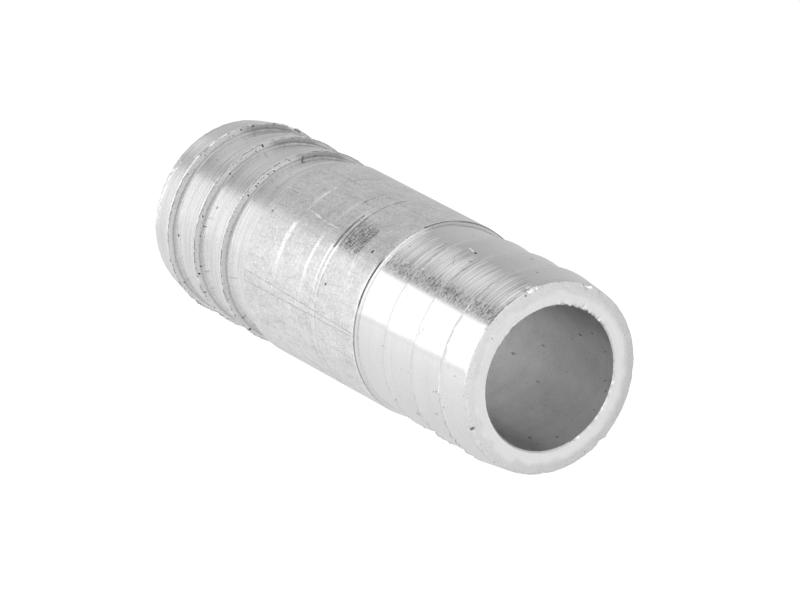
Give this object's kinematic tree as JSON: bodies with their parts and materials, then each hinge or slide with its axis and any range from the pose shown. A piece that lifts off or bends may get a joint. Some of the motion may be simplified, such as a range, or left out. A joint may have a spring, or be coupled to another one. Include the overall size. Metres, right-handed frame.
{
  "type": "hose connector",
  "caption": "Straight turned aluminium hose connector: an open tube with saw-tooth barbs on both ends and a plain band between them.",
  "frame": {"origin": "centre of the lower end face, the one it stands on", "axes": "+Z along the bore, from the lower end to the upper end (the end whose face the picture shows); +X and +Y lie across the bore, and the body is round about Z"},
  "size_m": [0.02, 0.02, 0.0572],
  "materials": {
    "turned_aluminium": "bare turned aluminium: bright machined barbs with fine lathe rings, duller scratched tube skin on the plain middle, no coating"
  },
  "bodies": {
    "root": {"connector_body": "turned_aluminium"}
  },
  "joints": []
}
